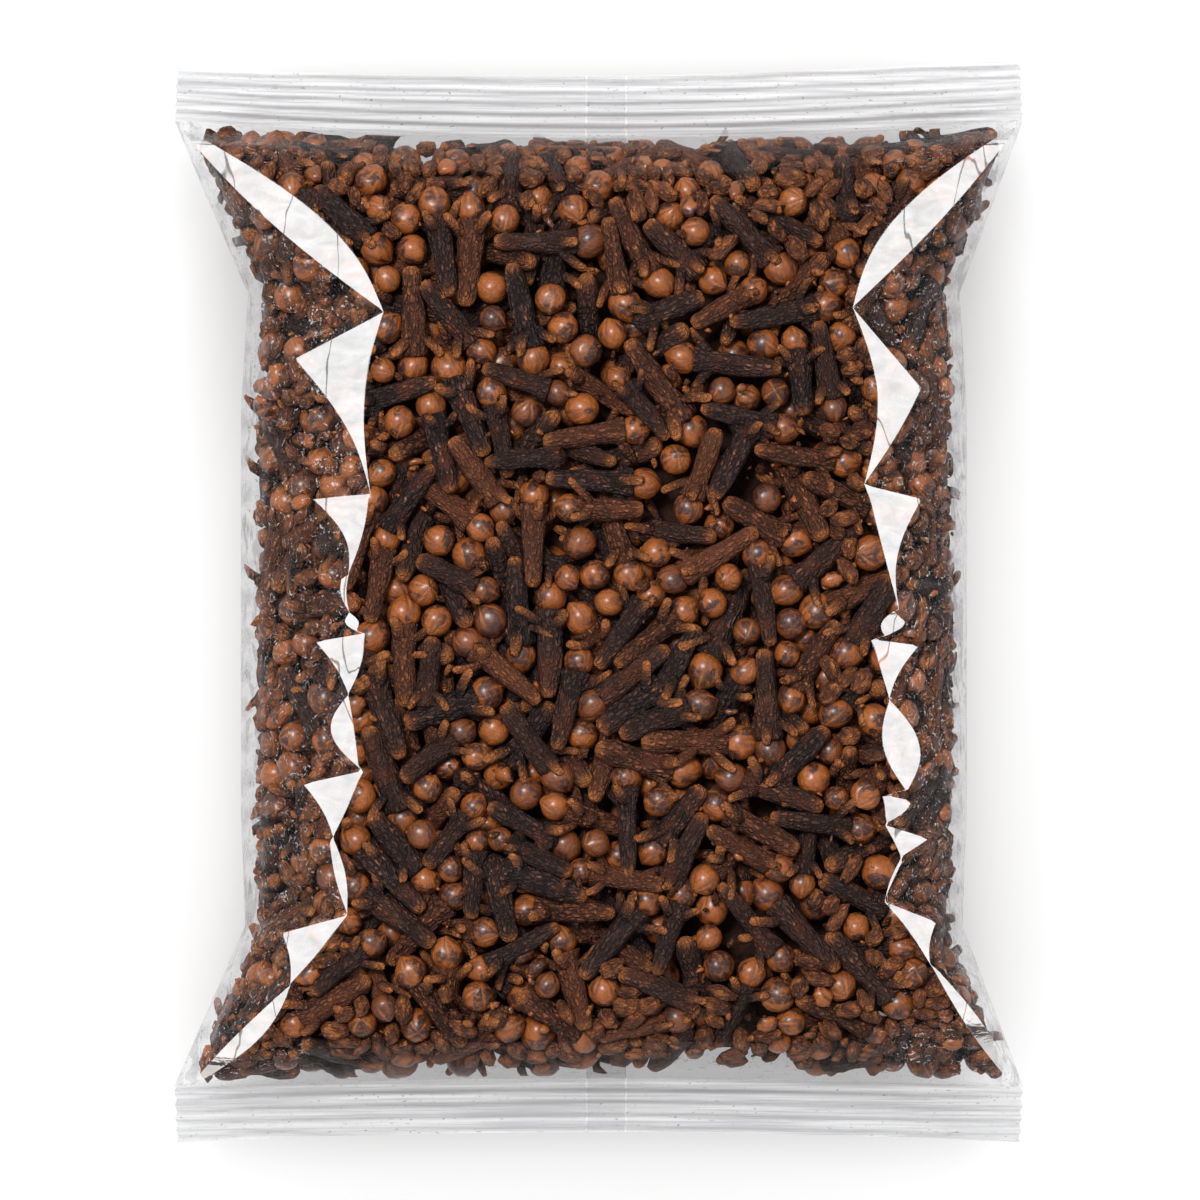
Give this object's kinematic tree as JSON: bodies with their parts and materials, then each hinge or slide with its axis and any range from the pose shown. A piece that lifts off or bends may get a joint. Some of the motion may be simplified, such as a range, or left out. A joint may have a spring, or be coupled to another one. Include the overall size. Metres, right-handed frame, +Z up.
{
  "type": "bag of whole cloves",
  "caption": "Clear sealed pillow bag full of whole dried cloves, lying on its back, with crimped seals across both ends.",
  "frame": {"origin": "middle of the footprint, on the surface the bag lies on", "axes": "+Y towards the top seal, +X to the right of the shown front, +Z up out of the front"},
  "size_m": [0.12, 0.154, 0.0334],
  "materials": {
    "cloves": "dry wrinkled dark brown stalks and smoother tan buds, seen through film",
    "film": "clear glossy packing film"
  },
  "bodies": {
    "root": {"clove_bag": "cloves"}
  },
  "joints": []
}
